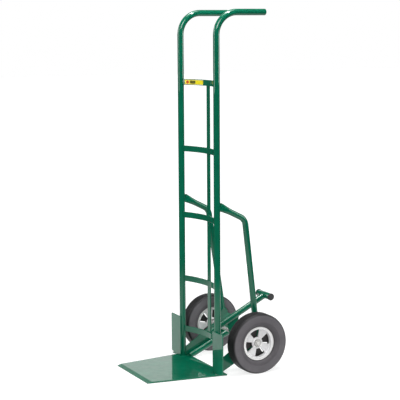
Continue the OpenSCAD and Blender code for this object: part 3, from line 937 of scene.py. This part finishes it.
def makeBrace(side, word):
    x, radius = side * rail["x"], brace["diameter"] / 2
    corner = Vector((brace["cornerY"], brace["topZ"] - brace["cornerDrop"]))
    foot = Vector(brace["foot"])
    upper = math.atan(brace["cornerDrop"] / brace["cornerY"])
    lower = math.atan((corner.y - foot.y) / (foot.x - corner.x))
    alongTop = Vector((math.cos(upper), -math.sin(upper)))
    alongLeg = Vector((math.cos(lower), -math.sin(lower)))
    head = Vector((rail["radius"], brace["topZ"] - rail["radius"] * math.tan(upper)))
    trim = brace["bend"] * math.tan((lower - upper) / 2)
    bendStart, bendEnd = corner - trim * alongTop, corner + trim * alongLeg
    centre = bendStart - brace["bend"] * Vector((math.sin(upper), math.cos(upper)))
    footFlat = (brace["footFlatTop"] - foot.y) / math.sin(lower)
    legEnd = foot - (footFlat + brace["taper"]) * alongLeg
    lean = side * (brace["footX"] + brace["diameter"] / 4) - x

    def step(direction, length, sideways=0.0):
        return ("go", (sideways, direction.x * length, direction.y * length))

    ends, lengths = brace["pressSteps"], brace["legSteps"]
    legs = [step(alongTop, brace["flat"])] + [step(alongTop, brace["headTaper"] / ends)] * ends
    legs.append(step(alongTop, (bendStart - head).length - brace["flat"] - brace["headTaper"]))
    turn = -math.degrees(lower - upper)
    legs.append(("bend", (x, centre.x, centre.y), (1, 0, 0), turn, brace["bendSteps"]))
    legs += [step(alongLeg, (legEnd - bendEnd).length / lengths, lean / lengths)] * lengths
    legs += [step(alongLeg, brace["taper"] / ends)] * ends + [step(alongLeg, footFlat)]
    piece = roundBar(word + "Brace", radius, (x, head.x, head.y), legs, brace["sides"])
    for vertex in piece.data.vertices:
        spot = Vector((vertex.co.y, vertex.co.z))
        fromHead, fromFoot = (spot - head).dot(alongTop), (foot - spot).dot(alongLeg)
        if fromHead < brace["flat"] + brace["headTaper"]:
            along, place, axisX = alongTop, head + fromHead * alongTop, x
            share = min(max((fromHead - brace["flat"]) / brace["headTaper"], 0), 1)
            roundness = 1 - brace["headSquash"] * (1 - share) ** 1.6
        elif fromFoot < footFlat + brace["taper"] and vertex.co.z < corner.y:
            along, place = alongLeg, foot - fromFoot * alongLeg
            roundness = min(max((fromFoot - footFlat) / brace["taper"], 0), 1)
            axisX = side * (brace["footX"] + roundness * brace["diameter"] / 4)
        else:
            continue
        across = Vector((-along.y, along.x))
        offset = vertex.co.x - (x if axisX == x else x + lean)
        wide, deep = pressed(offset, (spot - place).dot(across), roundness)
        vertex.co = (axisX + wide, *(place + deep * across))
    editAll(piece)
    tidyMesh()
    leaveEdit()
    return paintedPiece(piece, word + "_brace", 50)


for side, word in sides:
    makeBrace(side, word)
print("hand truck: braces")


# plastic caps on the foot piece
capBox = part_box("kick_foot_caps")
caps = {"thick": 0.003, "edge": 0.0009, "dish": 0.0006}


def makeFootCaps():
    y, z = (capBox[0].y + capBox[1].y) / 2, (capBox[0].z + capBox[1].z) / 2
    radius, end = (capBox[1].z - capBox[0].z) / 2, capBox[1].x
    start = end - caps["thick"]
    edge, dished = caps["edge"], end - caps["dish"]
    outline = [(start, 0), (start, radius - 0.0003), (start + 0.0004, radius), (end - edge, radius),
               (end - edge * 0.3, radius - edge * 0.4), (end, radius - edge * 1.2),
               (end, radius - 0.0028), (dished, radius - 0.0036), (dished, 0)]
    parts = []
    for side in (-1, 1):
        parts.append(lathe("footCap", [(side * x, r) for x, r in outline], (0, y, z), 48, closed=False))
    piece = joinPieces("kickFootCaps", parts)
    return finishPiece(piece, plastic, stands=["kick_foot_caps"])


makeFootCaps()


# kick bar, foot piece, struts
kick = {
    "radius": 0.01335,
    "teeRadius": 0.0141,
    "tee": (0, 0.320, 0.275),
    "slope": 27,
    "front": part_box("kick_bar")[0].y,
    "edge": 0.0006,
}
strut = {"radius": 0.01335, "wall": 0.0029, "slope": 24.5, "backY": 0.206, "bore": 0.05}


def alongSlope(degrees):
    return Vector((0, math.cos(math.radians(degrees)), math.sin(math.radians(degrees))))


def hollowEnd(piece, place, normal, wall, depth):
    # opens the pipe's bore in the end face at a place
    pick(piece)
    bpy.ops.object.mode_set(mode="EDIT")
    bpy.ops.mesh.select_mode(type="FACE")
    bpy.ops.mesh.select_all(action="DESELECT")
    bpy.ops.object.mode_set(mode="OBJECT")
    for face in piece.data.polygons:
        face.select = face.normal.dot(normal) > 0.999 and abs((face.center - place).dot(normal)) < 0.0005
    bpy.ops.object.mode_set(mode="EDIT")
    bpy.ops.mesh.inset(thickness=wall)
    bpy.ops.mesh.extrude_region_move(TRANSFORM_OT_translate={"value": -depth * normal})
    bpy.ops.mesh.select_mode(type="VERT")
    leaveEdit()


def makeKickBar():
    along, tee = alongSlope(kick["slope"]), Vector(kick["tee"])
    overlap = math.sqrt(kick["teeRadius"] ** 2 - kick["radius"] ** 2)
    reach = (tee.y - kick["front"]) / along.y + kick["radius"]
    start = tee - reach * along
    piece = roundBar("kickBar", kick["radius"], start, [("go", (reach - overlap) * along)], 56)
    cutBelow(piece, (0, kick["front"], 0), (0, -1, 0))
    editAll(piece)
    tidyMesh()
    leaveEdit()
    return paintedPiece(piece, "kick_bar", 30)


def makeFootPiece():
    low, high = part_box("kick_foot_piece")
    start = (low.x, kick["tee"][1], kick["tee"][2])
    piece = roundBar("kickFootPiece", kick["teeRadius"], start, [("go", (high.x - low.x, 0, 0))], 56)
    bevelEdges(piece, kick["edge"], 2, 40)
    return paintedPiece(piece, "kick_foot_piece", 30)


def makeStrut(word):
    node = word + "_strut"
    low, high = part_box(node)
    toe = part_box("toe_plate")[1]
    along, x = alongSlope(strut["slope"]), (low.x + high.x) / 2
    footY = toe.y + strut["radius"] * 2 / 3
    foot = Vector((x, footY, toe.z + strut["radius"] * 2 / 3))
    lead, length = strut["radius"] * 1.2, (strut["backY"] - footY) / along.y
    legs = [("go", (length + lead) * along)]
    piece = roundBar(word + "Strut", strut["radius"], foot - lead * along, legs, 48)
    hollowEnd(piece, foot + length * along, along, strut["wall"], strut["bore"])
    cutBelow(piece, (x, 0, low.z), (0, 0, -1))
    editAll(piece)
    tidyMesh()
    leaveEdit()
    return paintedPiece(piece, node, 30)


makeKickBar()
makeFootPiece()
for side, word in sides:
    makeStrut(word)
print("hand truck: kick bar and struts")


# weld beads
bead = {"length": 0.0034, "width": 0.0026, "height": 0.0019, "pitch": 0.0021, "wander": 0.0003}
weld = {
    "railTurn": (-60, 240),          # round the rail's foot, clear of the guard
    "guardInset": (0.012, 0.045),    # where the guard's bead starts and ends, from its sides
    "stitchHeights": (0.03, 0.09, 0.15),
    "stitch": 0.022,
    "stitchApart": 0.007,
    "strapReach": 0.86,              # in rail radii
    "inset": 0.003,
    "bracketOnPlate": (0.014, 0.034),
    "bracketOnRail": (0.012, 0.044),
    "bracketY": 0.0075,
    "headHalf": 0.017,
    "headApart": 0.0034,
}


def makeDroplet():
    clearSelection()
    bpy.ops.mesh.primitive_uv_sphere_add(segments=8, ring_count=5, radius=1, location=(0, 0, 0))
    return bpy.context.object


droplet = makeDroplet()


def weldAlong(points, closed=False):
    # droplets side by side along a path, each a little different in width and height
    path = [Vector(point) for point in points]
    drops = []
    for first, second in zip(path, path[1:] + (path[:1] if closed else [])):
        step = second - first
        count = max(1, round(step.length / bead["pitch"]))
        for number in range(count):
            drop = droplet.copy()
            drop.data = droplet.data.copy()
            bpy.context.scene.collection.objects.link(drop)
            wobble = math.sin(12.9 * (len(drops) + 1)) * bead["wander"]
            drop.rotation_mode = "QUATERNION"
            drop.rotation_quaternion = step.to_track_quat("X", "Z")
            drop.scale = (bead["length"] * 0.5, bead["width"] + wobble, bead["height"] + wobble)
            drop.location = first + step * ((number + 0.5) / count)
            drops.append(drop)
    return drops


def ringPath(centre, radius, fromAngle, toAngle, count):
    # round an upright pipe, seen from above
    turns = [math.radians(fromAngle + (toAngle - fromAngle) * k / count) for k in range(count + 1)]
    return [(centre[0] + radius * math.cos(turn), centre[1] + radius * math.sin(turn), centre[2])
            for turn in turns]


def makeWelds():
    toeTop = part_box("toe_plate")[1].z
    drops = []
    for side, word in sides:
        guardLow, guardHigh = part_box(word + "_wheel_guard")
        bracketLow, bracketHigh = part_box(word + "_axle_bracket")
        x = side * rail["x"]
        # foot of the rail, clear of the guard in front of it
        drops += weldAlong(ringPath((x, 0, toeTop + 0.0004), rail["radius"] + 0.0004, *weld["railTurn"], 14))
        # guard to the plate, front and back
        first, last = guardLow.x + weld["guardInset"][0], guardHigh.x - weld["guardInset"][1]
        for y in (guardLow.y, guardHigh.y):
            drops += weldAlong([(first, y, toeTop), (last, y, toeTop)])
        # guard to the rail, in stitches
        y = guardHigh.y + 0.0012
        for z in weld["stitchHeights"]:
            for edge in (-weld["stitchApart"], weld["stitchApart"]):
                drops += weldAlong([(x + edge, y, z), (x + edge, y, z + weld["stitch"])])
        # strap ends
        for number in range(1, 6):
            low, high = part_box("cross_strap_%d" % number)
            reach = rail["x"] - rail["radius"] * weld["strapReach"]
            for spot in (arcPoint(reach), arcPoint(reach, strap["thickness"])):
                drops += weldAlong([(side * spot.x, spot.y, low.z + weld["inset"]),
                                    (side * spot.x, spot.y, high.z - weld["inset"])])
        # bracket to the plate and to the rail
        for edge in (bracketLow.x, bracketHigh.x):
            drops += weldAlong([(edge, y, toeTop) for y in weld["bracketOnPlate"]])
        edge = bracketHigh.x if side < 0 else bracketLow.x
        drops += weldAlong([(edge, weld["bracketY"], z) for z in weld["bracketOnRail"]])
        # head of the brace on the back of the rail
        z = brace["topZ"] - rail["radius"] * brace["cornerDrop"] / brace["cornerY"]
        y = rail["radius"] - 0.0004
        for edge in (x - weld["headApart"], x + weld["headApart"]):
            drops += weldAlong([(edge, y, z - weld["headHalf"]), (edge, y, z + weld["headHalf"])])
    # centre strap on each cross strap
    low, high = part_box("centre_strap")
    for number in range(1, 6):
        strapLow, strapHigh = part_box("cross_strap_%d" % number)
        edges = [z for z in (strapLow.z, strapHigh.z) if low.z < z < high.z]
        for z in edges:
            drops += weldAlong([(low.x + weld["inset"], low.y, z), (high.x - weld["inset"], low.y, z)])
    # kick bar on the centre strap and on the foot piece
    along, tee, radius = alongSlope(kick["slope"]), Vector(kick["tee"]), kick["radius"]
    up, frontZ = Vector((0, -along.z, along.y)), tee.z - (tee.y - kick["front"]) * along.z / along.y
    turns = [math.radians(15 * k) for k in range(24)]
    ring = [(math.cos(turn) * radius, math.sin(turn) * radius) for turn in turns]
    drops += weldAlong([(a, kick["front"] + 0.0008, frontZ + b / along.y) for a, b in ring], closed=True)
    saddle = [Vector((a, 0, 0)) + tee + up * b - along * math.sqrt(kick["teeRadius"] ** 2 - b * b)
              for a, b in ring]
    drops += weldAlong(saddle, closed=True)
    piece = joinPieces("weldBeads", drops)
    bpy.data.objects.remove(droplet)
    return finishPiece(piece, greenPaint)


makeWelds()
print("hand truck: weld beads")


# every piece of the CAD gets the finish that its slot names
finishes = {"green_powder_coat": greenPaint, "label": vinyl, "bare_steel": steel, "cast_hub": castMetal,
            "tyre_rubber": rubber, "black_plastic": plastic}
slotOf = {part["node"]: part["material_slot"] for part in frame["record"]["subparts"]}
for node in frame["nodes"]:
    paintNode(node, finishes[slotOf[node]])
print("hand truck: CAD pieces painted")


# floor, light
studio = {
    "floor": 60,
    "backdrop": 1.0,        # what is seen behind the truck
    "room": 0.035,          # what its paint reflects, sideways
    "ceiling": 0.09,
    "gloss": 4.5,           # extra ceiling brightness for mirror reflections
    "wall": 1.0,            # the wall behind, seen in the toe plate
    "wallHeading": (-0.89, 0.454),
    "litFloor": (1.35, 2.1),  # the floor's glow fades out between these distances
    "floorGlow": (0.80, 1.1),
}


def byCameraRay(nodes, links, reflected, seen, output):
    mix = nodes.new("ShaderNodeMixShader")
    links.new(nodes.new("ShaderNodeLightPath").outputs["Is Camera Ray"], mix.inputs[0])
    links.new(reflected, mix.inputs[1])
    links.new(seen, mix.inputs[2])
    links.new(mix.outputs[0], output)


def makeWorld():
    world = bpy.data.worlds.new("studio")
    bpy.context.scene.world = world
    world.use_nodes = True
    nodes, links = world.node_tree.nodes, world.node_tree.links
    seen = nodes["Background"]
    seen.inputs["Color"].default_value = (1, 1, 1, 1)
    seen.inputs["Strength"].default_value = studio["backdrop"]
    room = nodes.new("ShaderNodeBackground")
    apart = splitPlace(nodes, links, nodes.new("ShaderNodeTexCoord").outputs["Generated"])
    rise = ramp(nodes, links, apart["Z"], [(0.3, studio["room"]), (0.7, studio["ceiling"])])
    bright = ramp(nodes, links, apart["Z"], [(0.90, 0), (0.95, studio["gloss"])])
    shiny = nodes.new("ShaderNodeLightPath").outputs["Is Glossy Ray"]
    colour = mixColour(nodes, links, shiny, rise.outputs["Color"], bright.outputs["Color"], "ADD")
    turn = mathNode(nodes, links, "ADD",
                    mathNode(nodes, links, "MULTIPLY", apart["X"], studio["wallHeading"][0]),
                    mathNode(nodes, links, "MULTIPLY", apart["Y"], studio["wallHeading"][1]))
    wall = ramp(nodes, links, turn, [(0.88, 0), (0.93, studio["wall"])])
    colour = mixColour(nodes, links, shiny, colour, wall.outputs["Color"], "ADD")
    links.new(colour, room.inputs["Color"])
    byCameraRay(nodes, links, room.outputs[0], seen.outputs[0], nodes["World Output"].inputs["Surface"])


def makeFloor():
    clearSelection()
    bpy.ops.mesh.primitive_plane_add(size=studio["floor"], location=(0, 0, -0.0005))
    floor = bpy.context.object
    floor.name = "floor"
    material, nodes, links, shader = newMaterial("paleFloor")
    place = objectPlace(nodes)
    grain = noiseNode(nodes, links, place, 3, 2)
    feed(nodes, links, grain, (0.3, (0.34, 0.34, 0.34)), (0.7, (0.36, 0.36, 0.36)),
         shader.inputs["Base Color"])
    shader.inputs["Roughness"].default_value = 0.8
    shader.inputs["Specular IOR Level"].default_value = 0.1
    distance = nodes.new("ShaderNodeVectorMath")
    distance.operation = "LENGTH"
    links.new(place, distance.inputs[0])
    away = mapRange(nodes, links, distance.outputs["Value"], *studio["litFloor"])
    near, far = studio["floorGlow"]
    rise = ramp(nodes, links, away, [(0, near), (1, far)])
    shader.inputs["Emission Strength"].default_value = 1.0
    links.new(rise.outputs["Color"], shader.inputs["Emission Color"])
    glow = nodes.new("ShaderNodeEmission")
    lit = ramp(nodes, links, away, [(0, 1), (1, studio["room"])])
    links.new(lit.outputs["Color"], glow.inputs["Color"])
    byCameraRay(nodes, links, glow.outputs[0], shader.outputs[0], nodes["Material Output"].inputs["Surface"])
    floor.data.materials.append(material)


def makeLight(name, place, width, height, power, aim=(0, 0, 0.7)):
    data = bpy.data.lights.new(name, "AREA")
    data.shape = "RECTANGLE"
    data.size, data.size_y = width, height
    data.energy = power
    light = bpy.data.objects.new(name, data)
    bpy.context.scene.collection.objects.link(light)
    light.location = place
    light.visible_camera = False
    light.rotation_mode = "QUATERNION"
    light.rotation_quaternion = (Vector(aim) - Vector(place)).to_track_quat("-Z", "Y")


makeWorld()
makeFloor()
makeLight("keyLight", (3.4, -2.2, 3.6), 2.0, 2.0, 135)
makeLight("stripLight", (0.6, 0.1, 3.6), 0.3, 2.6, 80, (0.2, 0, 0.3))
makeLight("fillLight", (-3.2, -3.0, 2.4), 1.6, 1.6, 40)
makeLight("rightBox", (1.45, 2.65, 1.8), 1.1, 1.5, 30, (0, 0, 1.3))
makeLight("leftBox", (-0.4, -3.0, 1.8), 1.1, 1.5, 24, (0, 0, 1.3))
bpy.context.scene.view_settings.view_transform = "Standard"
print("hand truck: studio")
